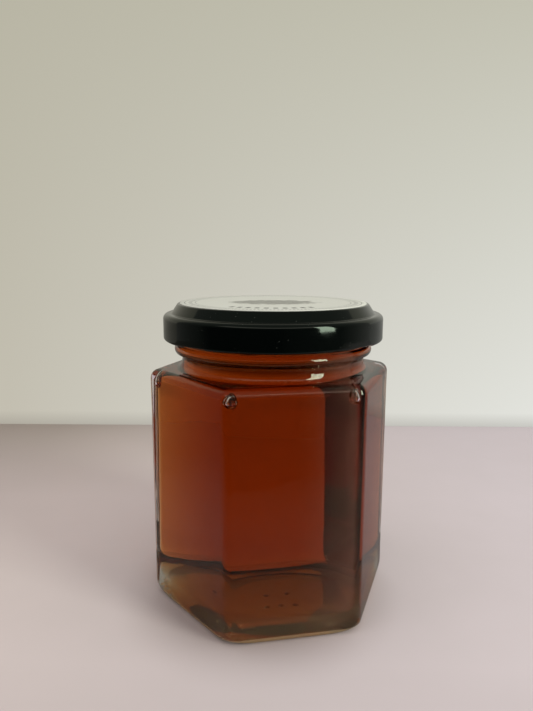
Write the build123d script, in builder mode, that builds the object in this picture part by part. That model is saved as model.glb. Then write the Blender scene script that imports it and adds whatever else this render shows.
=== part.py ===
"""Six-sided glass honey jar with its honey, a twist-off cap and a round paper label on the cap.

The origin is the middle of the base, +Z is up and one flat side faces -Y.
"""

from build123d import *
import math
import os

# ---------------------------------------------------------------- driving dimensions, mm and degrees

# outside of the glass body
across_flats = 59.7
corner_radius = 2.8
shoulder_height = 65.9
shoulder_radius = 2.6
heel_height = 4.0
heel_inset = 1.5
heel_corner_radius = 18.0
heel_steps = 5
punt_radius = 24.5
punt_depth = 1.2
punt_slope = 40.0

# inside of the glass body
wall = 2.4
floor_thickness = 5.0
inner_corner_radius = 5.5
inner_heel_radius = 4.6
shoulder_thickness = 2.7
inner_shoulder_radius = 2.5
bore_base_radius = 1.6
bore_base_share = 0.85

# mouth of the jar, called the finish, measured from its outer radius and up from the shoulder
finish_radius = 26.0
finish_wall = 3.0
finish_height = 17.25
lip_outer_radius = 1.1
lip_inner_radius = 0.8
neck_relief = 0.6
neck_base_radius = 1.8
neck_straight = 0.6
bead_proud = 1.3
bead_undercut = 0.5
bead_low = 4.5
bead_high = 6.9
parting_step = 0.15

# starts of the thread
start_count = 4
thread_depth = 2.1
thread_width = 1.6
thread_crest = 0.7
thread_root = 0.5
thread_low = 7.9
thread_rise = 2.8
thread_sweep = 80.0
thread_angle = 11.2

# cap
sheet = 0.45
panel_overhang = 0.3
panel_edge = 0.6
step_height = 2.6
step_run = 1.7
ledge_radius = 0.5
cap_shoulder_radius = 1.4
curl_radius = 0.8
curl_clearance = 0.55
lug_angle = 38.4
lug_width = 15.0
lug_bite = 0.85
lug_thickness = 0.9
lug_round = 0.35
lug_lift = 0.3
lug_clearance = 0.1

# label and contents
label_margin = 0.6
label_thickness = 0.12
headspace = 6.2

# ---------------------------------------------------------------- radii and heights that follow

apothem = across_flats / 2
bore_radius = finish_radius - finish_wall
neck_radius = finish_radius - neck_relief
bead_radius = finish_radius + bead_proud
thread_radius = finish_radius + thread_depth
panel_radius = finish_radius + panel_overhang
cap_radius = thread_radius + curl_clearance + 2 * curl_radius
lug_radius = thread_radius - lug_bite
label_radius = panel_radius - label_margin

rim_height = shoulder_height + finish_height
fill_height = rim_height - headspace
cavity_top = shoulder_height - shoulder_thickness
cap_top = rim_height + sheet

thread_middle = shoulder_height + thread_low + thread_rise / 2
thread_tilt = math.atan2(thread_rise / 2, thread_radius * math.sin(math.radians(thread_sweep / 2)))
lug_low_side = math.radians(lug_angle - lug_width / 2 - thread_angle)
thread_over_lug = thread_middle + thread_radius * math.tan(thread_tilt) * math.sin(lug_low_side)
lug_top = thread_over_lug - thread_width / 2 - lug_clearance
lug_bottom = lug_top - lug_thickness
cap_bottom = lug_bottom - lug_lift

# the rounding at the foot of the bore is limited by the flat ring it runs into
bore_base_room = apothem - wall - inner_shoulder_radius - bore_radius
bore_base = min(bore_base_radius, bore_base_share * bore_base_room)


def rounded_hexagon(half_width, radius):
    """Hexagon with a flat side to -Y, drawn in the sketch that is open."""
    RegularPolygon(radius=half_width, side_count=6, major_radius=False)
    fillet(vertices(), radius)


def upright_plane(angle):
    """Plane through the Z axis, with its own X pointing outwards at this angle."""
    outwards = Vector(1, 0, 0).rotate(Axis.Z, angle)
    return Plane((0, 0, 0), outwards, outwards.cross(Vector(0, 0, 1)))


# ---------------------------------------------------------------- space inside the glass

with BuildPart() as cavity:
    with BuildSketch(Plane.XY.offset(floor_thickness)):
        rounded_hexagon(apothem - wall, inner_corner_radius)
    extrude(amount=cavity_top - floor_thickness)
    fillet(faces().sort_by(Axis.Z)[0].edges(), inner_heel_radius)
    fillet(faces().sort_by(Axis.Z)[-1].edges(), inner_shoulder_radius)
    with BuildSketch(Plane.XY.offset(cavity_top)):
        Circle(bore_radius)
    extrude(amount=finish_height + shoulder_thickness)
    fillet(edges(Select.LAST).filter_by(GeomType.CIRCLE).group_by(Axis.Z)[0], bore_base)

# ---------------------------------------------------------------- one start of the thread

thread_axis = Axis((0, 0, thread_middle), (0, -math.sin(thread_tilt), math.cos(thread_tilt)))
thread_outwards = Vector(1, 0, 0).rotate(thread_axis, -thread_sweep / 2)
thread_plane = Plane(thread_axis.position, thread_outwards, thread_outwards.cross(thread_axis.direction))

with BuildPart() as thread_start:
    with BuildSketch(thread_plane):
        with BuildLine():
            Polyline(
                (finish_radius - thread_root, -thread_width / 2),
                (thread_radius - thread_crest / 2, -thread_width / 2),
                (thread_radius, -thread_crest / 2),
                (thread_radius, thread_crest / 2),
                (finish_radius - thread_root, thread_width / 2),
                close=True,
            )
        make_face()
    revolve(axis=thread_axis, revolution_arc=thread_sweep)

# ---------------------------------------------------------------- jar

with BuildPart() as jar:
    # heel, which rounds the six sides in to a softer bearing outline
    for step in range(heel_steps + 1):
        turn = math.pi / 2 * (1 - step / heel_steps)
        tuck = 1 - math.cos(turn)
        with BuildSketch(Plane.XY.offset(heel_height * (1 - math.sin(turn)))):
            rounded_hexagon(
                apothem - heel_inset * tuck,
                corner_radius + (heel_corner_radius - corner_radius) * tuck,
            )
    loft()

    # sides and shoulder
    with BuildSketch(Plane.XY.offset(heel_height)):
        rounded_hexagon(apothem, corner_radius)
    extrude(amount=shoulder_height - heel_height)
    fillet(faces().sort_by(Axis.Z)[-1].edges(), shoulder_radius)

    # neck, bead and finish, turned about the upright axis
    foot = (neck_radius + neck_base_radius, shoulder_height)
    neck_low = (neck_radius, shoulder_height + neck_base_radius)
    neck_high = (neck_radius, shoulder_height + neck_base_radius + neck_straight)
    flare_end = (bead_radius - bead_undercut, shoulder_height + bead_low)
    bead_start = (bead_radius - bead_undercut + parting_step, shoulder_height + bead_low)
    bead_crest = (bead_radius, shoulder_height + (bead_low + bead_high) / 2)
    bead_end = (finish_radius, shoulder_height + bead_high)
    with BuildSketch(Plane.XZ):
        with BuildLine():
            Polyline((0, rim_height), (0, cavity_top), (foot[0], cavity_top), foot)
            RadiusArc(foot, neck_low, neck_base_radius)
            Line(neck_low, neck_high)
            TangentArc(neck_high, flare_end, tangent=(0, 1))
            Line(flare_end, bead_start)
            ThreePointArc(bead_start, bead_crest, bead_end)
            Polyline(bead_end, (finish_radius, rim_height), (0, rim_height))
        make_face()
    revolve(axis=Axis.Z)
    with PolarLocations(0, start_count, start_angle=thread_angle):
        add(thread_start.part)

    # inside, with a rounded lip
    add(cavity.part, mode=Mode.SUBTRACT)
    fillet(edges().group_by(Axis.Z)[-1].sort_by(SortBy.LENGTH)[-1], lip_outer_radius)
    fillet(edges().group_by(Axis.Z)[-1].sort_by(SortBy.LENGTH)[0], lip_inner_radius)

    # hollow under the base, which leaves a bearing ring
    with BuildSketch(Plane.XY):
        Circle(punt_radius)
    extrude(amount=punt_depth, taper=punt_slope, mode=Mode.SUBTRACT)

# ---------------------------------------------------------------- honey

with BuildPart() as honey:
    add(cavity.part)
    split(bisect_by=Plane.XY.offset(fill_height), keep=Keep.BOTTOM)

# ---------------------------------------------------------------- cap


def cap_outline(inset):
    """Edges of half the cap's section down to its rolled edge, this far inside its outer surface."""
    top = cap_top - inset
    ledge = top - step_height
    side = cap_radius - inset
    skirt_end = cap_bottom + curl_radius
    with BuildLine() as outline:
        FilletPolyline(
            (0, top),
            (panel_radius - inset / 2, top),
            (panel_radius - inset / 2 + step_run, ledge),
            (side, ledge),
            (side, skirt_end),
            radius=[panel_edge, ledge_radius, cap_shoulder_radius - inset],
        )
        Polyline((side, skirt_end), (0, skirt_end), (0, top))
    return outline.edges()


with BuildPart() as cap:
    with BuildSketch(Plane.XZ):
        make_face(cap_outline(0))
    revolve(axis=Axis.Z)
    with BuildSketch(Plane.XZ):
        make_face(cap_outline(sheet))
    revolve(axis=Axis.Z, mode=Mode.SUBTRACT)

    # rolled edge
    with BuildSketch(Plane.XZ):
        with Locations((cap_radius - curl_radius, cap_bottom + curl_radius)):
            Circle(curl_radius)
    revolve(axis=Axis.Z)

    # lugs, where the rolled edge is pressed inwards under the thread and lifts a little
    for number in range(start_count):
        lug_plane = upright_plane(lug_angle - lug_width / 2 + number * 360 / start_count)
        with BuildSketch(lug_plane):
            with Locations((cap_radius - curl_radius, cap_bottom)):
                Rectangle(3 * curl_radius, lug_lift, align=(Align.CENTER, Align.MIN))
        revolve(axis=Axis.Z, revolution_arc=lug_width, mode=Mode.SUBTRACT)
        with BuildSketch(lug_plane):
            with Locations((cap_radius, lug_top)):
                Rectangle(cap_radius - lug_radius, lug_thickness, align=(Align.MAX, Align.MAX))
            fillet(vertices(), lug_round)
        revolve(axis=Axis.Z, revolution_arc=lug_width)

# ---------------------------------------------------------------- label

with BuildPart() as cap_label:
    with BuildSketch(Plane.XY.offset(cap_top)):
        Circle(label_radius)
    extrude(amount=label_thickness)

# ---------------------------------------------------------------- files

os.makedirs("parts", exist_ok=True)

jar.part.label = "jar"
export_step(jar.part, "parts/jar.step")

honey.part.label = "honey"
export_step(honey.part, "parts/honey.step")

cap.part.label = "cap"
export_step(cap.part, "parts/cap.step")

cap_label.part.label = "cap_label"
export_step(cap_label.part, "parts/cap_label.step")
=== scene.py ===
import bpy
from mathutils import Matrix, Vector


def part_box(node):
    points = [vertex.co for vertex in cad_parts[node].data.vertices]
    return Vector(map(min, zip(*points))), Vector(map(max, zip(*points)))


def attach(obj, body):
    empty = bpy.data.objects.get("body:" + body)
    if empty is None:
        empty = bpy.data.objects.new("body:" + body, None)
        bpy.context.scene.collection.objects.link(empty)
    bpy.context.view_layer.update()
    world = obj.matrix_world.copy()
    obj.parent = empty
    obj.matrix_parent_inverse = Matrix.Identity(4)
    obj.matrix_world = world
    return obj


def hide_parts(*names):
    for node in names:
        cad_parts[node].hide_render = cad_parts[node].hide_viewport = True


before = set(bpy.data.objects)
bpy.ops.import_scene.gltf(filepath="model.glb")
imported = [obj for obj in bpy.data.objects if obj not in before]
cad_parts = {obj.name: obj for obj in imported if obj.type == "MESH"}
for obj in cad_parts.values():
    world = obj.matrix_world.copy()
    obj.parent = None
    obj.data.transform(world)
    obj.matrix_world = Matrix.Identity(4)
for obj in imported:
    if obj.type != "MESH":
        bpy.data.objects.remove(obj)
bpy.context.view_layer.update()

# Six-sided honey jar: clear glass, honey, black twist-off cap and round paper label.
# Everything is in metres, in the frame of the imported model: +Z up, one flat side faces -Y.

import math
import random

import bmesh
import bpy
import numpy as np
from mathutils import Matrix, Vector

mm = 0.001

# ---------------------------------------------------------------- sizes read from the frame

jar_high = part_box("jar")[1]
honey_low, honey_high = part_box("honey")
cap_low, cap_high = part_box("cap")
label_low, label_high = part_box("cap_label")

half_width = jar_high.y
rim_height = jar_high.z
inner_half_width = honey_high.y
floor_height = honey_low.z
fill_height = honey_high.z
cap_radius = cap_high.x
cap_bottom = cap_low.z
cap_top = cap_high.z
label_radius = label_high.x
label_top = label_high.z

# ---------------------------------------------------------------- sizes of the glass

corner_radius = 2.8 * mm
shoulder_height = 65.9 * mm
shoulder_radius = 2.6 * mm
heel_height = 4.0 * mm
heel_inset = 1.5 * mm
heel_corner_radius = 18.0 * mm
punt_radius = 24.5 * mm
punt_depth = 1.6 * mm
punt_flat_radius = 15 * mm
stipple_height = 0.06 * mm
stipple_radius = 0.75 * mm
stipple_rows = (25.6 * mm, 27.1 * mm)
stipples_in_row = 60
dot_places = ((-3.8, 1.7), (2.3, 1.7), (-4.6, -7.6), (-0.6, -7.4), (3.4, -7.8))
dot_radius = 0.7 * mm
dot_depth = 0.35 * mm
side_unevenness = 0.07 * mm
side_fade = 8 * mm

inner_corner_radius = 3.8 * mm
inner_heel_radius = 3.0 * mm
inner_shoulder_height = 63.2 * mm
inner_shoulder_radius = 2.5 * mm
bore_radius = 23.0 * mm
bore_base_radius = 1.6 * mm

finish_radius = 26.0 * mm
lip_outer_radius = 1.1 * mm
lip_inner_radius = 0.8 * mm
neck_radius = 25.4 * mm
neck_base_radius = 1.8 * mm
neck_straight = 1.0 * mm
neck_lean = 0.16 * mm
bead_radius = 27.3 * mm
bead_undercut = 0.5 * mm
bead_low = 4.5 * mm
bead_high = 6.9 * mm
parting_step = 0.15 * mm

thread_starts = 4
thread_radius = 28.1 * mm
thread_middle = 75.2 * mm
thread_width = 1.6 * mm
thread_rise = 2.8 * mm
thread_sweep = math.radians(80)
thread_angle = math.radians(11.2)

points_round = 432
corner_crowding = 0.5

# ---------------------------------------------------------------- sizes of the honey, cap and label

wall_bite = 0.15 * mm
meniscus_rise = 0.9 * mm
meniscus_reach = 1.8 * mm
tiny_bubbles = 70
caught_bubble_inset = 1.6 * mm
caught_bubble_drop = 0.95 * mm

sheet = 0.45 * mm
panel_radius = 26.3 * mm
panel_edge = 0.6 * mm
step_height = 2.6 * mm
step_run = 1.7 * mm
ledge_radius = 0.5 * mm
cap_shoulder_radius = 1.4 * mm
curl_radius = 0.8 * mm
lug_count = 4
lug_angle = math.radians(38.4)
lug_width = math.radians(15)
lug_reach = 27.25 * mm
lug_thickness = 0.9 * mm
lug_lift = 0.3 * mm

# ---------------------------------------------------------------- outlines

across_sector = np.linspace(-1, 1, points_round // 6, endpoint=False)
crowded = corner_crowding * across_sector + (1 - corner_crowding) * across_sector**3
angles = (np.add.outer(np.arange(6) * math.pi / 3, crowded * math.pi / 6)).ravel()


def hexagon(half, corner):
    """Distance from the axis to the side of a rounded hexagon, at each angle round the jar."""
    turn = (angles + math.pi / 6) % (math.pi / 3) - math.pi / 6
    centre = (half - corner) / math.cos(math.pi / 6)
    arc_end = math.atan2(corner / 2, centre + corner * math.cos(math.pi / 6))
    on_arc = np.sqrt(np.maximum(corner**2 - (centre * np.sin(turn)) ** 2, 0)) + centre * np.cos(turn)
    on_side = half / np.cos(math.pi / 6 - np.abs(turn))
    return np.where(np.abs(turn) < arc_end, on_arc, on_side)


def circle(radius):
    return np.full(points_round, radius)


def ring(reach, height):
    """Points round the axis at these distances and heights."""
    height = np.broadcast_to(height, reach.shape)
    return np.column_stack([reach * np.cos(angles), reach * np.sin(angles), height])


def arc(centre, radius, start, end, count):
    """Points (distance, height) on an arc given by its angles in degrees."""
    turns = np.radians(np.linspace(start, end, count))
    return [(centre[0] + radius * math.cos(t), centre[1] + radius * math.sin(t)) for t in turns]


def arc_through(start, middle, end, count):
    """Points (distance, height) on the arc through three points."""
    (ax, ay), (bx, by), (cx, cy) = start, middle, end
    d = 2 * (ax * (by - cy) + bx * (cy - ay) + cx * (ay - by))
    a2, b2, c2 = ax**2 + ay**2, bx**2 + by**2, cx**2 + cy**2
    x = (a2 * (by - cy) + b2 * (cy - ay) + c2 * (ay - by)) / d
    y = (a2 * (cx - bx) + b2 * (ax - cx) + c2 * (bx - ax)) / d
    first = math.degrees(math.atan2(ay - y, ax - x))
    last = math.degrees(math.atan2(cy - y, cx - x))
    return arc((x, y), math.hypot(ax - x, ay - y), first, last, count)


def rounded(points, radii, count=7):
    """An outline through these points with its inner corners rounded to these radii."""
    outline = [points[0]]
    for before, here, after, radius in zip(points, points[1:], points[2:], radii):
        b, h, a = (Vector(p) for p in (before, here, after))
        inwards, outwards = (b - h).normalized(), (a - h).normalized()
        half_angle = inwards.angle(outwards) / 2
        reach = radius / math.tan(half_angle)
        centre = h + (inwards + outwards).normalized() * radius / math.sin(half_angle)
        first, last = h + inwards * reach - centre, h + outwards * reach - centre
        sweep = first.angle_signed(last)
        for step in np.linspace(0, 1, count):
            turned = Matrix.Rotation(-sweep * step, 2) @ first
            outline.append(tuple(centre + turned))
    outline.append(points[-1])
    return outline


def smooth(x):
    x = np.clip(x, 0, 1)
    return x * x * (3 - 2 * x)


def angle_from(middle):
    """How far each angle round the jar lies from this one, signed."""
    return (angles - middle + math.pi) % (2 * math.pi) - math.pi


# ---------------------------------------------------------------- meshes


def lathe(name, rings, materials, strip_materials=None):
    """Closed mesh of quads between rings, with a fan over each end. Rings run so that faces look outwards."""
    count = len(rings[0])
    points = np.vstack([*rings, rings[0].mean(0), rings[-1].mean(0)])
    first_pole, last_pole = len(points) - 2, len(points) - 1
    here = np.arange(count)
    beside = (here + 1) % count
    faces = [np.column_stack([beside, here, np.full(count, first_pole)])]
    for number in range(len(rings) - 1):
        low, high = number * count, (number + 1) * count
        faces.append(np.column_stack([low + here, low + beside, high + beside, high + here]))
    end = (len(rings) - 1) * count
    faces.append(np.column_stack([end + here, end + beside, np.full(count, last_pole)]))
    mesh = bpy.data.meshes.new(name)
    mesh.from_pydata(points.tolist(), [], [f for strip in faces for f in strip.tolist()])
    for material in materials:
        mesh.materials.append(material)
    if strip_materials is not None:
        slots = [strip_materials[0], *strip_materials, strip_materials[-1]]
        mesh.polygons.foreach_set("material_index", np.repeat(slots, count))
    mesh.polygons.foreach_set("use_smooth", np.ones(len(mesh.polygons), bool))
    mesh.update()
    piece = bpy.data.objects.new(name, mesh)
    bpy.context.scene.collection.objects.link(piece)
    return piece


# ---------------------------------------------------------------- jar


def waviness(height):
    """Slow unevenness of pressed glass, 0 to 1, at each angle for this height."""
    slow = np.sin(5 * angles + 90 * height / (100 * mm)) * np.sin(math.tau * height / (47 * mm))
    slower = np.sin(3 * angles - math.tau * height / (83 * mm) + 1.3)
    quick = np.sin(11 * angles + math.tau * height / (31 * mm) + 0.4)
    return 0.5 + 0.2 * slow + 0.2 * slower + 0.1 * quick


def thread_proud(height):
    """How far the thread stands out of the finish, at each angle for this height."""
    proud = np.zeros(points_round)
    for start in range(thread_starts):
        along = angle_from(thread_angle + start * math.tau / thread_starts) / thread_sweep
        from_middle = np.abs(height - thread_middle - along * thread_rise)
        ends = smooth((0.5 - np.abs(along)) / 0.08)
        crest = smooth((thread_width / 2 - from_middle) / (0.45 * thread_width))
        proud = np.maximum(proud, ends * crest)
    return proud * (thread_radius - finish_radius)


def stipples(distance):
    """Small bumps in rows round the axis, 0 to 1, at each angle for this distance from the axis."""
    bumps = np.zeros(points_round)
    pitch = math.tau / stipples_in_row
    for number, row in enumerate(stipple_rows):
        beside = ((angles + number * pitch / 2) % pitch - pitch / 2) * row
        away = np.hypot(beside, distance - row) / stipple_radius
        bumps = np.maximum(bumps, np.sqrt(np.maximum(1 - away**2, 0)))
    return bumps


def base_dots(distance):
    """Small round marks under the base, 0 to 1, at each angle for this distance from the axis."""
    marks = np.zeros(points_round)
    for x, y in dot_places:
        away = np.hypot(distance * np.cos(angles) - x * mm, distance * np.sin(angles) - y * mm)
        marks = np.maximum(marks, smooth(1.4 - away / dot_radius))
    return marks


def underside():
    """Rings from the middle of the hollow under the base out to the heel."""
    rings = []
    for distance in np.linspace(0.3 * mm, 11 * mm, 24):
        rings.append(ring(circle(distance), punt_depth - dot_depth * base_dots(distance)))
    rings.append(ring(circle(punt_flat_radius - 1 * mm), punt_depth))
    for share in np.linspace(0, 1, 12):
        height = stipple_height + (punt_depth - stipple_height) * (1 - share ** 1.4)
        rings.append(ring(circle(punt_flat_radius + (punt_radius - punt_flat_radius) * share), height))
    bearing = hexagon(half_width - heel_inset, heel_corner_radius)
    stippled_width = 3.6 * mm
    for share in np.linspace(0.08, 0.92, 12):
        reach = punt_radius + (bearing - punt_radius) * share
        bumps = stipples(punt_radius + stippled_width * share)
        rings.append(ring(reach, stipple_height * (1 - bumps)))
    return rings


def heel():
    rings = []
    for turn in np.radians(np.linspace(90, 0, 14)):
        tuck = 1 - math.cos(turn)
        corner = corner_radius + (heel_corner_radius - corner_radius) * tuck
        height = stipple_height + (heel_height - stipple_height) * (1 - math.sin(turn))
        rings.append(ring(hexagon(half_width - heel_inset * tuck, corner), height))
    return rings


def sides():
    rings = []
    top = shoulder_height - shoulder_radius
    for height in np.linspace(heel_height, top, 36)[1:-1]:
        edge = smooth((height - heel_height) / side_fade) * smooth((top - height) / side_fade)
        reach = hexagon(half_width, corner_radius) - side_unevenness * edge * waviness(height)
        rings.append(ring(reach, height))
    return rings


def shoulder():
    rings = []
    for turn in np.radians(np.linspace(0, 90, 13)):
        inset = shoulder_radius * (1 - math.cos(turn))
        height = shoulder_height - shoulder_radius * (1 - math.sin(turn))
        rings.append(ring(hexagon(half_width - inset, corner_radius - inset), height))
    return rings


def neck_and_finish():
    """Rings from the foot of the neck up over the bead and the thread, and round the lip to the bore."""
    foot_height = shoulder_height + neck_base_radius
    outline = arc((neck_radius + neck_base_radius, foot_height), neck_base_radius, -90, -172, 11)
    flare_start = (neck_radius - neck_lean, foot_height + neck_straight)
    flare_out = bead_radius - bead_undercut - flare_start[0]
    flare_up = shoulder_height + bead_low - flare_start[1]
    flare_radius = (flare_out**2 + flare_up**2) / (2 * flare_out)
    flare_end = 180 - math.degrees(math.asin(flare_up / flare_radius))
    outline += arc((flare_start[0] + flare_radius, flare_start[1]), flare_radius, 180, flare_end, 9)
    bead_start = (bead_radius - bead_undercut + parting_step, shoulder_height + bead_low)
    bead_crest = (bead_radius, shoulder_height + (bead_low + bead_high) / 2)
    bead_end = (finish_radius, shoulder_height + bead_high)
    outline += arc_through(bead_start, bead_crest, bead_end, 11)
    rings = [ring(circle(distance), height) for distance, height in outline]
    for height in np.linspace(bead_end[1] + 0.1 * mm, rim_height - 4.5 * mm, 26):
        rings.append(ring(circle(finish_radius) + thread_proud(height), height))
    lip = arc((finish_radius - lip_outer_radius, rim_height - lip_outer_radius), lip_outer_radius, 0, 90, 8)
    lip += arc((bore_radius + lip_inner_radius, rim_height - lip_inner_radius), lip_inner_radius, 90, 180, 8)
    return rings + [ring(circle(distance), height) for distance, height in lip]


def inside(grow=0.0):
    """Rings down the inside from just under the honey's edge to the floor, moved this far into the glass."""
    rings = []
    bore_foot = inner_shoulder_height + bore_base_radius
    for height in np.linspace(fill_height + meniscus_rise, bore_foot, 9)[:-1]:
        rings.append(ring(circle(bore_radius + grow), height))
    centre = (bore_radius + bore_base_radius, bore_foot)
    for distance, height in arc(centre, bore_base_radius - grow, 180, 270, 8):
        rings.append(ring(circle(distance), height))
    for turn in np.radians(np.linspace(90, 0, 9)):
        inset = inner_shoulder_radius * (1 - math.cos(turn)) - grow
        height = inner_shoulder_height - inner_shoulder_radius * (1 - math.sin(turn)) + grow * math.sin(turn)
        rings.append(ring(hexagon(inner_half_width - inset, inner_corner_radius - inset), height))
    for turn in np.radians(np.linspace(0, 90, 12)):
        inset = inner_heel_radius * (1 - math.cos(turn)) - grow
        height = floor_height + inner_heel_radius * (1 - math.sin(turn)) - grow * math.sin(turn)
        rings.append(ring(hexagon(inner_half_width - inset, inner_corner_radius - inset), height))
    floor_half = inner_half_width - inner_heel_radius + grow
    last = hexagon(floor_half, inner_corner_radius - inner_heel_radius + grow)
    for share in (0.8, 0.55, 0.3, 0.05):
        rings.append(ring(last * share, floor_height - grow))
    return rings


def make_jar(glass, wetted_glass, base_glass, heel_glass):
    """The jar's whole skin. Each strip between two rings has its own kind of glass."""
    base = underside()
    outer = heel() + sides() + shoulder() + neck_and_finish()
    inner = inside()
    heel_strips = 8
    clear, wetted, under, low = range(4)
    strips = [under] * len(base) + [low] * heel_strips
    strips += [clear] * (len(outer) - heel_strips) + [wetted] * (len(inner) - 1)
    return lathe("jar_glass", base + outer + inner, [glass, wetted_glass, base_glass, heel_glass], strips)


# ---------------------------------------------------------------- honey


def make_honey(honey_material):
    """The honey reaches just into the glass, and its surface climbs a little where it meets the wall."""
    surface = []
    for distance in [0.5 * mm, 8 * mm, 15 * mm, *np.linspace(18 * mm, bore_radius + wall_bite, 12)[:-1]]:
        climb = math.exp((distance - bore_radius) / meniscus_reach)
        surface.append(ring(circle(distance), fill_height + meniscus_rise * min(climb, 1)))
    rings = surface + inside(wall_bite)
    return lathe("honey_fill", rings[::-1], [honey_material])


def make_bubbles(bubble_material):
    """Tiny air bubbles near the glass and the surface, and a larger one caught under each shoulder corner."""
    draw = random.Random(7)
    mesh = bpy.data.meshes.new("honey_bubbles")
    shape = bmesh.new()
    for number in range(tiny_bubbles):
        radius = draw.uniform(0.06, 0.2) * mm
        turn = draw.uniform(0, math.tau)
        height = draw.uniform(8 * mm, inner_shoulder_height - 3 * mm)
        reach = inner_half_width - draw.uniform(0.5, 7) * mm
        if number % 3 == 0:
            height = fill_height - draw.uniform(0.4, 4) * mm
            reach = bore_radius - draw.uniform(0.4, 8) * mm
        place = Matrix.Translation((reach * math.cos(turn), reach * math.sin(turn), height))
        bmesh.ops.create_icosphere(shape, subdivisions=2, radius=radius, matrix=place)
    for number in range(6):
        turn = math.radians(60 * number)
        radius = draw.uniform(1.4, 1.65) * mm
        reach = inner_half_width / math.cos(math.pi / 6) - caught_bubble_inset
        height = inner_shoulder_height - caught_bubble_drop
        place = Matrix.Translation((reach * math.cos(turn), reach * math.sin(turn), height))
        narrowed = Matrix.Diagonal((0.95, 0.95, 1, 1))
        bmesh.ops.create_icosphere(shape, subdivisions=4, radius=radius, matrix=place @ narrowed)
    shape.to_mesh(mesh)
    shape.free()
    mesh.materials.append(bubble_material)
    mesh.polygons.foreach_set("use_smooth", np.ones(len(mesh.polygons), bool))
    bubbles = bpy.data.objects.new("honey_bubbles", mesh)
    bpy.context.scene.collection.objects.link(bubbles)
    return bubbles


# ---------------------------------------------------------------- cap


def cap_outline(inset):
    """Half of the cap's section, from its middle down the skirt, this far inside the outer surface."""
    top = cap_top - inset
    edge = panel_radius - inset / 2
    side = cap_radius - inset
    points = [(0.3 * mm, top), (edge, top), (edge + step_run, top - step_height)]
    points += [(side, top - step_height), (side, cap_bottom + curl_radius)]
    return rounded(points, [panel_edge, ledge_radius, cap_shoulder_radius - inset])


def lug_share():
    """1 at the lugs and 0 between them, at each angle round the cap."""
    share = np.zeros(points_round)
    for number in range(lug_count):
        away = np.abs(angle_from(lug_angle + number * math.tau / lug_count))
        share = np.maximum(share, smooth((lug_width / 2 - away) / math.radians(3) + 0.5))
    return share


def curl_ring(distance, height):
    """One ring of the rolled edge, pressed inwards and lifted at the lugs."""
    share = lug_share()
    middle = (cap_radius - curl_radius, cap_bottom + curl_radius)
    out, up = distance - middle[0], height - middle[1]
    inner_stretch = (middle[0] - lug_reach) / curl_radius if out < 0 else 1
    lug_middle = cap_bottom + lug_lift + lug_thickness / 2
    reach = middle[0] + out * (1 + (inner_stretch - 1) * share)
    level = (1 - share) * height + share * (lug_middle + up * lug_thickness / 2 / curl_radius)
    return ring(reach, level)


def make_cap(enamel):
    outer = [ring(circle(distance), height) for distance, height in cap_outline(0)]
    curl = arc((cap_radius - curl_radius, cap_bottom + curl_radius), curl_radius, 0, -296, 26)
    rolled = [curl_ring(distance, height) for distance, height in curl[1:]]
    inner = [ring(circle(distance), height) for distance, height in cap_outline(sheet)[:-1]]
    rings = outer + rolled + inner[::-1]
    return lathe("cap_shell", rings[::-1], [enamel])


# ---------------------------------------------------------------- label


def make_label(paper):
    bottom = label_low.z
    edge = 0.04 * mm
    outline = [(0.5 * mm, bottom), (label_radius - edge, bottom), (label_radius, bottom + edge)]
    outline += [(label_radius, label_top - edge), (label_radius - edge, label_top)]
    outline += [(distance, label_top) for distance in np.linspace(24 * mm, 0.5 * mm, 9)]
    return lathe("label_disc", [ring(circle(distance), height) for distance, height in outline], [paper])


# ---------------------------------------------------------------- material helpers


def new_material(name):
    material = bpy.data.materials.new(name)
    material.use_nodes = True
    material.node_tree.nodes.clear()
    output = material.node_tree.nodes.new("ShaderNodeOutputMaterial")
    return material, material.node_tree, output


def node(tree, kind, inputs=None, **settings):
    """Adds a node with these settings. An input is a plain value, or the socket it is fed from."""
    made = tree.nodes.new(kind)
    for name, value in settings.items():
        setattr(made, name, value)
    for name, value in (inputs or {}).items():
        socket = made.inputs[name]
        if isinstance(value, bpy.types.NodeSocket):
            tree.links.new(value, socket)
        else:
            socket.default_value = value
    return made


def maths(tree, operation, first, second=0.0, third=0.0):
    return node(tree, "ShaderNodeMath", {0: first, 1: second, 2: third}, operation=operation).outputs[0]


def mixed(tree, share, first, second):
    """Colour between two colours."""
    inputs = {0: share, 6: first, 7: second}
    return node(tree, "ShaderNodeMix", inputs, data_type="RGBA").outputs[2]


def ranged(tree, value, low, high, to_low=0.0, to_high=1.0):
    inputs = {"Value": value, "From Min": low, "From Max": high, "To Min": to_low, "To Max": to_high}
    return node(tree, "ShaderNodeMapRange", inputs).outputs[0]


def new_group(name, inputs, outputs):
    """Node group with float, vector or colour sockets: name to (kind, value)."""
    group = bpy.data.node_groups.new(name, "ShaderNodeTree")
    for socket_name, (kind, value) in inputs.items():
        socket = group.interface.new_socket(socket_name, in_out="INPUT", socket_type="NodeSocket" + kind)
        if value is not None:
            socket.default_value = value
    for socket_name, kind in outputs.items():
        group.interface.new_socket(socket_name, in_out="OUTPUT", socket_type="NodeSocket" + kind)
    start = group.nodes.new("NodeGroupInput")
    end = group.nodes.new("NodeGroupOutput")
    return group, start.outputs, end.inputs


def placed(tree, group, **inputs):
    """Puts a node group into a material with its own values and returns its outputs."""
    named = {name.replace("_", " "): value for name, value in inputs.items()}
    return node(tree, "ShaderNodeGroup", named, node_tree=group).outputs


def rgb(red, green, blue):
    return (red, green, blue, 1.0)


# ---------------------------------------------------------------- effects that several materials share


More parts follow.
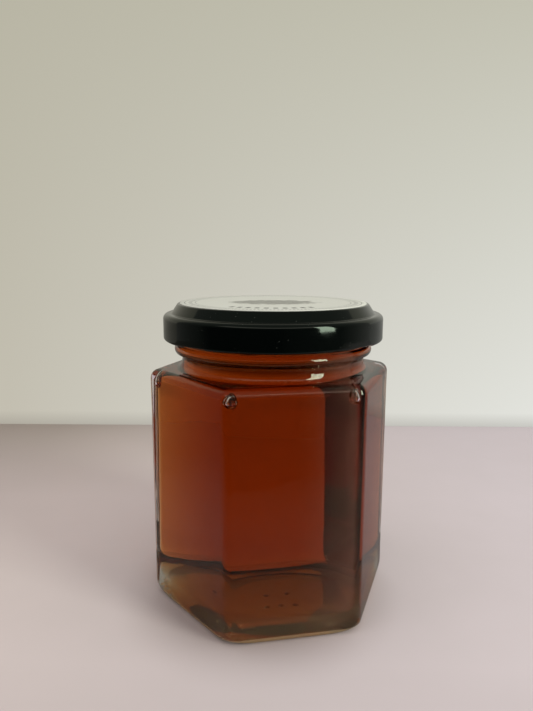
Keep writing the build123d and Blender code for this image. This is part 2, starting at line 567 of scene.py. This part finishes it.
def make_ripple_group():
    """Slow surface unevenness as a normal, for pressed glass and enamel."""
    sockets = {"Size": ("Float", 0.01), "Depth": ("Float", 0.00001), "Stretch": ("Float", 1.0)}
    group, given, wanted = new_group("surface_ripple", sockets, {"Normal": "Vector", "Height": "Float"})
    place = node(group, "ShaderNodeTexCoord").outputs["Object"]
    axes = node(group, "ShaderNodeSeparateXYZ", {0: place}).outputs
    upright = maths(group, "DIVIDE", axes[2], given["Stretch"])
    shaped = node(group, "ShaderNodeCombineXYZ", {0: axes[0], 1: axes[1], 2: upright}).outputs[0]
    scale = maths(group, "DIVIDE", 1.0, given["Size"])
    noise = node(group, "ShaderNodeTexNoise", {"Vector": shaped, "Scale": scale, "Detail": 1.0})
    bump = node(group, "ShaderNodeBump", {"Distance": given["Depth"], "Height": noise.outputs[0]})
    group.links.new(bump.outputs[0], wanted["Normal"])
    group.links.new(noise.outputs[0], wanted["Height"])
    return group


def make_speck_group():
    """Scattered small specks, such as dust or paper fibre, as a mask."""
    sockets = {"Spacing": ("Float", 0.002), "Size": ("Float", 0.1)}
    group, given, wanted = new_group("fine_specks", sockets, {"Mask": "Float"})
    place = node(group, "ShaderNodeTexCoord").outputs["Object"]
    scale = maths(group, "DIVIDE", 1.0, given["Spacing"])
    cells = node(group, "ShaderNodeTexVoronoi", {"Vector": place, "Scale": scale})
    patches = node(group, "ShaderNodeTexNoise", {"Vector": place, "Scale": 90.0, "Detail": 2.0})
    size = maths(group, "MULTIPLY", given["Size"], patches.outputs[0])
    mask = maths(group, "LESS_THAN", cells.outputs["Distance"], size)
    group.links.new(mask, wanted["Mask"])
    return group


def make_print_ring_group():
    """A printed ring round the label's middle, broken into even dashes, as a mask."""
    sockets = {"Radius": ("Float", 0.02), "Width": ("Float", 0.0003), "Dashes": ("Float", 0.0)}
    sockets |= {"Dash Share": ("Float", 1.0), "Middle Angle": ("Float", 0.0), "Half Sweep": ("Float", 4.0)}
    group, given, wanted = new_group("printed_ring", sockets, {"Mask": "Float"})
    place = node(group, "ShaderNodeTexCoord").outputs["Object"]
    axes = node(group, "ShaderNodeSeparateXYZ", {0: place}).outputs
    flat = node(group, "ShaderNodeCombineXYZ", {0: axes[0], 1: axes[1]}).outputs[0]
    distance = node(group, "ShaderNodeVectorMath", {0: flat}, operation="LENGTH").outputs["Value"]
    away = maths(group, "ABSOLUTE", maths(group, "SUBTRACT", distance, given["Radius"]))
    line = maths(group, "LESS_THAN", away, maths(group, "MULTIPLY", given["Width"], 0.5))
    turn = maths(group, "ARCTAN2", axes[1], axes[0])
    per_turn = maths(group, "DIVIDE", given["Dashes"], math.tau)
    dash = maths(group, "FRACT", maths(group, "MULTIPLY", turn, per_turn))
    dashed = maths(group, "LESS_THAN", dash, given["Dash Share"])
    from_middle = maths(group, "SUBTRACT", turn, given["Middle Angle"])
    wrapped = maths(group, "WRAP", from_middle, -math.pi, math.pi)
    in_sweep = maths(group, "LESS_THAN", maths(group, "ABSOLUTE", wrapped), given["Half Sweep"])
    mask = maths(group, "MULTIPLY", maths(group, "MULTIPLY", line, dashed), in_sweep)
    group.links.new(mask, wanted["Mask"])
    return group


# ---------------------------------------------------------------- materials of the object


def make_glass(name, ripple, ripple_size, ripple_depth, colour, clearness, roughness):
    """Pressed glass with a faint green in its thickness, whose reflections have a painted green tint, the
    colour of the window's light. Under the jar it is less clear, and browner: painted orange glow of light
    that comes through the honey.
    """
    material, tree, output = new_material(name)
    wave = placed(tree, ripple, Size=ripple_size, Depth=ripple_depth, Stretch=2.5)
    shader = node(tree, "ShaderNodeBsdfPrincipled", {"Normal": wave["Normal"], "Base Color": colour})
    shader.inputs["Roughness"].default_value = roughness
    shader.inputs["IOR"].default_value = 1.5
    shader.inputs["Transmission Weight"].default_value = clearness
    # Painted: the glass's reflections take a green tint, the colour of the window's light.
    shader.inputs["Specular Tint"].default_value = rgb(0.85, 1.0, 0.82)
    tint = node(tree, "ShaderNodeVolumeAbsorption", {"Color": rgb(0.55, 0.85, 0.66), "Density": 2.6})
    tree.links.new(shader.outputs[0], output.inputs["Surface"])
    tree.links.new(tint.outputs[0], output.inputs["Volume"])
    return material


def make_wetted_glass():
    """Inside of the glass where honey touches it: honey bends light as glass does, so this face hardly shows.

    Close to the right front corner a faint pale film catches the light: painted sheen, which stands in for a
    haze of scattered and reflected light there.
    """
    material, tree, output = new_material("wetted_glass")
    place = node(tree, "ShaderNodeTexCoord").outputs["Object"]
    axes = node(tree, "ShaderNodeSeparateXYZ", {0: place}).outputs
    uneven = node(tree, "ShaderNodeTexNoise", {"Vector": place, "Scale": 60.0, "Detail": 2.0}).outputs[0]
    # Painted sheen: a pale film only near the right front corner stands in for a haze of light there.
    towards_corner = maths(tree, "POWER", ranged(tree, axes[0], 0.0, 14 * mm), 1.5)
    before_corner = ranged(tree, axes[0], 15.5 * mm, 17 * mm, 1.0, 0.0)
    front_half = maths(tree, "LESS_THAN", axes[1], 0.0)
    painted_haze = maths(tree, "MULTIPLY", maths(tree, "MULTIPLY", towards_corner, before_corner), front_half)
    painted_haze = maths(tree, "MULTIPLY", painted_haze, ranged(tree, uneven, 0.3, 0.7, 0.21, 0.32))
    shader = node(tree, "ShaderNodeBsdfPrincipled", {"Base Color": rgb(0.62, 0.3, 0.22), "Alpha": painted_haze})
    shader.inputs["Roughness"].default_value = 1.0
    shader.inputs["Specular IOR Level"].default_value = 0.0
    tree.links.new(shader.outputs[0], output.inputs["Surface"])
    return material


def make_honey_material():
    """Honey in glass: light goes straight on from the wall into it and is soaked up on the way."""
    material, tree, output = new_material("amber_honey")
    shader = node(tree, "ShaderNodeBsdfPrincipled", {"Base Color": rgb(1, 1, 1)})
    shader.inputs["Roughness"].default_value = 0.0
    shader.inputs["IOR"].default_value = 1.0
    shader.inputs["Transmission Weight"].default_value = 1.0
    shader.inputs["Specular Tint"].default_value = rgb(0, 0, 0)
    tint = node(tree, "ShaderNodeVolumeAbsorption", {"Color": rgb(0.81, 0.48, 0.02), "Density": 120.0})
    tree.links.new(shader.outputs[0], output.inputs["Surface"])
    tree.links.new(tint.outputs[0], output.inputs["Volume"])
    return material


def make_bubble_material():
    """Air caught in honey, which bends light the other way."""
    material, tree, output = new_material("air_bubble")
    shader = node(tree, "ShaderNodeBsdfPrincipled", {"Base Color": rgb(1, 1, 1)})
    shader.inputs["Roughness"].default_value = 0.0
    shader.inputs["IOR"].default_value = 0.67
    shader.inputs["Transmission Weight"].default_value = 1.0
    tree.links.new(shader.outputs[0], output.inputs["Surface"])
    return material


def make_enamel(ripple, specks):
    """Glossy black enamel with a slightly uneven polish and a little dust."""
    material, tree, output = new_material("black_enamel")
    wave = placed(tree, ripple, Size=1.6 * mm, Depth=0.004 * mm, Stretch=1.0)
    dust = placed(tree, specks, Spacing=1.4 * mm, Size=0.13)["Mask"]
    dusty = maths(tree, "MULTIPLY", dust, 0.5)
    colour = mixed(tree, dusty, rgb(0.0007, 0.0012, 0.0011), rgb(0.06, 0.06, 0.055))
    rubbed = ranged(tree, wave["Height"], 0.3, 0.7, 0.05, 0.1)
    roughness = maths(tree, "ADD", rubbed, maths(tree, "MULTIPLY", dust, 0.3))
    inputs = {"Base Color": colour, "Roughness": roughness, "Normal": wave["Normal"]}
    shader = node(tree, "ShaderNodeBsdfPrincipled", inputs)
    shader.inputs["IOR"].default_value = 1.45
    # Painted: the enamel's reflections take a green tint, the colour of the window's light.
    shader.inputs["Specular Tint"].default_value = rgb(0.7, 0.82, 0.7)
    tree.links.new(shader.outputs[0], output.inputs["Surface"])
    return material


def make_paper(specks, ripple, print_ring):
    """Off-white paper with a fine ring of marks, a short row of bold ones and an oval of wavy hatching."""
    material, tree, output = new_material("label_paper")
    fibre = placed(tree, specks, Spacing=0.5 * mm, Size=0.3)["Mask"]
    grain = placed(tree, ripple, Size=0.35 * mm, Depth=0.01 * mm, Stretch=1.0)
    print_front = math.radians(-101)
    outer_line = placed(tree, print_ring, Radius=24.4 * mm, Width=0.25 * mm)["Mask"]
    small = {"Radius": 22.9 * mm, "Width": 1.1 * mm, "Dashes": 150.0, "Dash_Share": 0.45}
    fine_marks = placed(tree, print_ring, **small)["Mask"]
    inner_line = placed(tree, print_ring, Radius=21.5 * mm, Width=0.2 * mm)["Mask"]
    bold = {"Radius": 18.6 * mm, "Width": 1.9 * mm, "Dashes": 50.0, "Dash_Share": 0.5}
    marks = placed(tree, print_ring, **bold, Middle_Angle=print_front, Half_Sweep=0.62)["Mask"]
    place = node(tree, "ShaderNodeTexCoord").outputs["Object"]
    turn = {"Vector": place, "Angle": -print_front - math.pi / 2}
    turned = node(tree, "ShaderNodeVectorRotate", turn, rotation_type="Z_AXIS")
    axes = node(tree, "ShaderNodeSeparateXYZ", {0: turned.outputs[0]}).outputs
    ragged = node(tree, "ShaderNodeTexNoise", {"Vector": place, "Scale": 420.0, "Detail": 3.0}).outputs[0]
    across = maths(tree, "POWER", maths(tree, "DIVIDE", axes[0], 12 * mm), 2.0)
    along = maths(tree, "POWER", maths(tree, "DIVIDE", maths(tree, "ADD", axes[1], 1 * mm), 7.5 * mm), 2.0)
    spread = maths(tree, "ADD", maths(tree, "ADD", across, along), maths(tree, "MULTIPLY", ragged, 1.7))
    wash = ranged(tree, spread, 1.55, 1.9, 1.0, 0.0)
    paper = mixed(tree, fibre, rgb(0.61, 0.605, 0.56), rgb(0.55, 0.545, 0.5))
    pale_ink = rgb(0.3, 0.3, 0.28)
    bent = maths(tree, "ADD", axes[1], maths(tree, "MULTIPLY", ragged, 2.4 * mm))
    hatching = maths(tree, "SINE", maths(tree, "DIVIDE", bent, 0.11 * mm))
    strokes = ranged(tree, hatching, -0.5, 0.6, 0.5, 1.0)
    washed = mixed(tree, maths(tree, "MULTIPLY", wash, strokes), paper, rgb(0.2, 0.195, 0.175))
    lined = mixed(tree, maths(tree, "MAXIMUM", outer_line, inner_line), washed, pale_ink)
    fine = mixed(tree, fine_marks, lined, pale_ink)
    colour = mixed(tree, marks, fine, rgb(0.04, 0.04, 0.038))
    inputs = {"Base Color": colour, "Roughness": 0.62, "Normal": grain["Normal"]}
    shader = node(tree, "ShaderNodeBsdfPrincipled", inputs)
    tree.links.new(shader.outputs[0], output.inputs["Surface"])
    return material


# ---------------------------------------------------------------- camera

camera_place = Vector((-31.58 * mm, -161.57 * mm, 97.25 * mm))
camera_heading = math.radians(10.44)
camera_pitch = math.radians(9.88)
camera_roll = math.radians(0.16)
camera_lens = 29.94
stage_turn = math.radians(-11.06)


def make_camera():
    """Camera that looks a little down on the jar, from just left of the middle of its front side."""
    level = Vector((math.sin(camera_heading), math.cos(camera_heading), 0))
    right = level.cross(Vector((0, 0, 1)))
    look = level * math.cos(camera_pitch) - Vector((0, 0, math.sin(camera_pitch)))
    up = right.cross(look)
    rolled_right = right * math.cos(camera_roll) + up * math.sin(camera_roll)
    rolled_up = up * math.cos(camera_roll) - right * math.sin(camera_roll)
    turned = Matrix((rolled_right, rolled_up, -look)).transposed()
    data = bpy.data.cameras.new("camera")
    data.lens = camera_lens
    data.sensor_width = 36.0
    data.clip_start = 0.01
    data.clip_end = 10.0
    camera = bpy.data.objects.new("camera", data)
    camera.matrix_world = Matrix.Translation(camera_place) @ turned.to_4x4()
    bpy.context.scene.collection.objects.link(camera)
    bpy.context.scene.camera = camera


# ---------------------------------------------------------------- stage


wall_distance = 161 * mm
wall_half_width = 420 * mm
wall_height = 420 * mm
table_front = -125 * mm
table_half_width = 420 * mm
gloss_dimming = 0.55

window_heading = math.radians(42.9)
window_distance = 0.7
window_height = 0.35


def seen_in_gloss(tree):
    """1 for rays that a glossy surface reflects, 0 for others, those that pass through glass among them."""
    path = node(tree, "ShaderNodeLightPath").outputs
    not_through = maths(tree, "SUBTRACT", 1.0, path["Is Transmission Ray"])
    return maths(tree, "MULTIPLY", path["Is Glossy Ray"], not_through)


def stage_sheet(name, corners, material):
    """Flat four-cornered sheet, given in the frame that faces the camera."""
    mesh = bpy.data.meshes.new(name)
    mesh.from_pydata(corners, [], [(0, 1, 2, 3)])
    mesh.materials.append(material)
    made = bpy.data.objects.new(name, mesh)
    made.rotation_euler = (0, 0, stage_turn)
    bpy.context.scene.collection.objects.link(made)
    return made


def make_wall_material():
    """Pale wall that glows with painted light: a little brighter low down on the right, with painted shade at
    its foot, darker where it is seen through the honey, and dimmer low down where gloss shows it.
    """
    material, tree, output = new_material("pale_wall")
    place = node(tree, "ShaderNodeTexCoord").outputs["Object"]
    axes = node(tree, "ShaderNodeSeparateXYZ", {0: place}).outputs
    # Painted light: the glow is brighter low down and towards the right, as if lit from there.
    across = ranged(tree, axes[0], -150 * mm, 150 * mm)
    upwards = ranged(tree, axes[2], 0.0, 230 * mm)
    low = mixed(tree, across, rgb(0.55, 0.52, 0.44), rgb(0.77, 0.775, 0.73))
    high = mixed(tree, across, rgb(0.48, 0.46, 0.37), rgb(0.54, 0.53, 0.44))
    colour = mixed(tree, upwards, low, high)
    # Painted shade along the wall's foot, where it meets the table.
    foot = ranged(tree, axes[2], 0.0, 8 * mm, 0.35, 0.0)
    colour = mixed(tree, foot, colour, rgb(0.2, 0.18, 0.16))
    # Painted shade: the wall is darker where it is seen through the honey, as if the jar shaded it.
    path = node(tree, "ShaderNodeLightPath").outputs
    along = ranged(tree, axes[0], -90 * mm, 90 * mm)
    behind_foot = mixed(tree, along, rgb(0.4, 0.33, 0.28), rgb(0.58, 0.51, 0.45))
    high_up = ranged(tree, axes[2], 55 * mm, 100 * mm)
    behind_top = mixed(tree, high_up, rgb(0.11, 0.095, 0.075), rgb(0.3, 0.28, 0.23))
    behind_honey = mixed(tree, ranged(tree, axes[2], 14 * mm, 36 * mm), behind_foot, behind_top)
    colour = mixed(tree, path["Is Transmission Ray"], colour, behind_honey)
    # Painted shade: gloss shows the lower wall dimmer.
    dimming = ranged(tree, axes[2], 50 * mm, 120 * mm, gloss_dimming, 0.0)
    colour = mixed(tree, maths(tree, "MULTIPLY", seen_in_gloss(tree), dimming), colour, rgb(0, 0, 0))
    glow = node(tree, "ShaderNodeEmission", {"Color": colour})
    tree.links.new(glow.outputs[0], output.inputs["Surface"])
    return material


def make_table_material():
    """Pale painted table with painted shade: the jar's close shade, darker far back, far left and in front,
    darker still where gloss shows its front and its left. Seen through the glass it glows with painted light.
    """
    material, tree, output = new_material("pale_table")
    place = node(tree, "ShaderNodeTexCoord").outputs["Object"]
    axes = node(tree, "ShaderNodeSeparateXYZ", {0: place}).outputs
    across = ranged(tree, axes[0], -90 * mm, 100 * mm)
    colour = mixed(tree, across, rgb(0.625, 0.53, 0.53), rgb(0.61, 0.53, 0.575))
    in_gloss = seen_in_gloss(tree)
    # Painted shade towards the far left, strong where gloss shows it.
    far_left = ranged(tree, axes[0], -75 * mm, -150 * mm)
    far_left = maths(tree, "MULTIPLY", far_left, ranged(tree, in_gloss, 0.0, 1.0, 0.15, 1.0))
    colour = mixed(tree, far_left, colour, rgb(0.2, 0.17, 0.15))
    # Painted shade towards the front, strong where gloss shows it.
    forwards = ranged(tree, axes[1], -38 * mm, -125 * mm)
    forwards = maths(tree, "MULTIPLY", forwards, ranged(tree, in_gloss, 0.0, 1.0, 0.45, 1.0))
    colour = mixed(tree, forwards, colour, rgb(0.08, 0.055, 0.05))
    # Painted shade towards the back, most on the left.
    backwards = ranged(tree, axes[1], 60 * mm, 161 * mm)
    far_shade = maths(tree, "MULTIPLY", backwards, ranged(tree, axes[0], -120 * mm, 60 * mm, 0.6, 0.1))
    colour = mixed(tree, far_shade, colour, rgb(0.2, 0.16, 0.12))
    path = node(tree, "ShaderNodeLightPath").outputs
    # Painted shadow of the jar round its foot, left out where it is seen through the glass.
    shifted = {0: place, 1: (4 * mm, 6 * mm, 0)}
    shade_middle = node(tree, "ShaderNodeVectorMath", shifted, operation="ADD").outputs[0]
    away = node(tree, "ShaderNodeVectorMath", {0: shade_middle}, operation="LENGTH").outputs["Value"]
    close = maths(tree, "POWER", ranged(tree, away, 42 * mm, 24 * mm), 1.6)
    close = maths(tree, "MULTIPLY", close, ranged(tree, path["Is Transmission Ray"], 0.0, 1.0, 0.5, 0.0))
    colour = mixed(tree, close, colour, rgb(0.16, 0.1, 0.08))
    # Painted shade: gloss shows the table dimmer.
    colour = mixed(tree, maths(tree, "MULTIPLY", in_gloss, gloss_dimming), colour, rgb(0, 0, 0))
    grain = node(tree, "ShaderNodeTexNoise", {"Vector": place, "Scale": 60.0, "Detail": 4.0}).outputs[0]
    shade = ranged(tree, grain, 0.3, 0.7, 0.0, 0.05)
    colour = mixed(tree, shade, colour, rgb(0.4, 0.36, 0.34))
    shader = node(tree, "ShaderNodeBsdfPrincipled", {"Base Color": colour, "Roughness": 0.75})
    # Painted light: seen through the glass, the table mostly glows instead of being lit, for light that comes
    # through the honey.
    glow = node(tree, "ShaderNodeEmission", {"Color": mixed(tree, 0.12, colour, rgb(0.25, 0.17, 0.1))})
    through = maths(tree, "MULTIPLY", path["Is Transmission Ray"], 0.75)
    lit = node(tree, "ShaderNodeMixShader", {0: through, 1: shader.outputs[0], 2: glow.outputs[0]})
    tree.links.new(lit.outputs[0], output.inputs["Surface"])
    return material


def make_stage():
    left, right, back, foot = -wall_half_width, wall_half_width, wall_distance, -1 * mm
    wall_corners = [(left, back, foot), (right, back, foot)]
    wall_corners += [(right, back, wall_height), (left, back, wall_height)]
    stage_sheet("wall", wall_corners, make_wall_material())
    left, right = -table_half_width, table_half_width
    table_corners = [(left, table_front, 0), (right, table_front, 0), (right, back, 0), (left, back, 0)]
    stage_sheet("table", table_corners, make_table_material())


def make_window():
    """Tall window to the front right, which shows in reflections only."""
    data = bpy.data.lights.new("window", "AREA")
    data.shape = "RECTANGLE"
    data.size = 0.2
    data.size_y = 0.6
    data.energy = 4.3
    data.color = (0.93, 1.0, 0.88)
    window = bpy.data.objects.new("window", data)
    across = window_distance * math.sin(window_heading)
    in_front = -window_distance * math.cos(window_heading)
    window.location = (across, in_front, window_height)
    window.rotation_euler = (math.radians(90), 0, window_heading)
    window.visible_camera = False
    window.visible_transmission = False
    bpy.context.scene.collection.objects.link(window)


def make_world():
    """Room round the stage: even soft light, which gloss shows dim in front but for a strip high up."""
    world = bpy.data.worlds.new("room")
    world.use_nodes = True
    tree = world.node_tree
    tree.nodes.clear()
    direction = node(tree, "ShaderNodeTexCoord").outputs["Generated"]
    turn = {"Vector": direction, "Angle": -stage_turn}
    turned = node(tree, "ShaderNodeVectorRotate", turn, rotation_type="Z_AXIS")
    axes = node(tree, "ShaderNodeSeparateXYZ", {0: turned.outputs[0]}).outputs
    to_right = maths(tree, "ARCTAN2", axes[0], maths(tree, "MULTIPLY", axes[1], -1.0))
    share = ranged(tree, to_right, -math.pi, math.pi)
    ramp = tree.nodes.new("ShaderNodeValToRGB")
    tree.links.new(share, ramp.inputs[0])
    # Degrees round from the front, to the right, and how bright gloss shows the room there.
    stops = [(-150, 0.25), (-80, 0.09), (-66, 0.012), (-44, 0.003), (8, 0.003), (18, 0.025)]
    stops += [(70, 0.06), (100, 0.25), (150, 0.4)]
    for number, (degrees, level) in enumerate(stops):
        place = (degrees + 180) / 360
        stop = ramp.color_ramp.elements[number] if number < 2 else ramp.color_ramp.elements.new(place)
        stop.position = place
        stop.color = rgb(level, 0.98 * level, 0.92 * level)
    overhead = ranged(tree, axes[2], 0.2, 0.8)
    room = mixed(tree, overhead, ramp.outputs[0], rgb(0.2, 0.21, 0.19))
    strip_middle = 0.66
    from_strip = maths(tree, "ABSOLUTE", maths(tree, "SUBTRACT", axes[2], strip_middle))
    in_front = ranged(tree, axes[1], -0.25, -0.45)
    strip = maths(tree, "MULTIPLY", ranged(tree, from_strip, 0.05, 0.11, 1.0, 0.0), in_front)
    room = mixed(tree, strip, room, rgb(1.5, 1.3, 1.25))
    path = node(tree, "ShaderNodeLightPath").outputs
    colour = mixed(tree, path["Is Glossy Ray"], rgb(1.0, 0.99, 0.95), room)
    backdrop = rgb(0.6, 0.59, 0.52)
    through = mixed(tree, ranged(tree, axes[1], -0.1, 0.3), rgb(0.15, 0.13, 0.11), backdrop)
    colour = mixed(tree, path["Is Transmission Ray"], colour, through)
    colour = mixed(tree, path["Is Camera Ray"], colour, backdrop)
    shade = node(tree, "ShaderNodeBackground", {"Color": colour, "Strength": 1.0})
    output = tree.nodes.new("ShaderNodeOutputWorld")
    tree.links.new(shade.outputs[0], output.inputs["Surface"])
    bpy.context.scene.world = world


# ---------------------------------------------------------------- everything together


def dress(piece, node_name):
    """The piece stands for its CAD node, which is hidden, and hangs under the root body."""
    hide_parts(node_name)
    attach(piece, "root")


ripple_group = make_ripple_group()
speck_group = make_speck_group()
print_ring_group = make_print_ring_group()

clear_glass = make_glass(
    "clear_glass", ripple_group, ripple_size=9 * mm, ripple_depth=0.016 * mm,
    colour=rgb(1, 1, 1), clearness=1.0, roughness=0.0,
)
# Painted glow: under the jar and at its heel the glass is orange-brown, for light that comes through the
# honey.
base_glass = make_glass(
    "base_glass", ripple_group, ripple_size=7 * mm, ripple_depth=0.04 * mm,
    colour=rgb(0.95, 0.7, 0.44), clearness=0.65, roughness=0.0,
)
heel_glass = make_glass(
    "heel_glass", ripple_group, ripple_size=4 * mm, ripple_depth=0.3 * mm,
    colour=rgb(0.86, 0.6, 0.34), clearness=0.8, roughness=0.1,
)
dress(make_jar(clear_glass, make_wetted_glass(), base_glass, heel_glass), "jar")
dress(make_honey(make_honey_material()), "honey")
dress(make_cap(make_enamel(ripple_group, speck_group)), "cap")
dress(make_label(make_paper(speck_group, ripple_group, print_ring_group)), "cap_label")
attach(make_bubbles(make_bubble_material()), "root")

make_camera()
make_stage()
make_window()
make_world()

bpy.context.scene.view_settings.view_transform = "Standard"
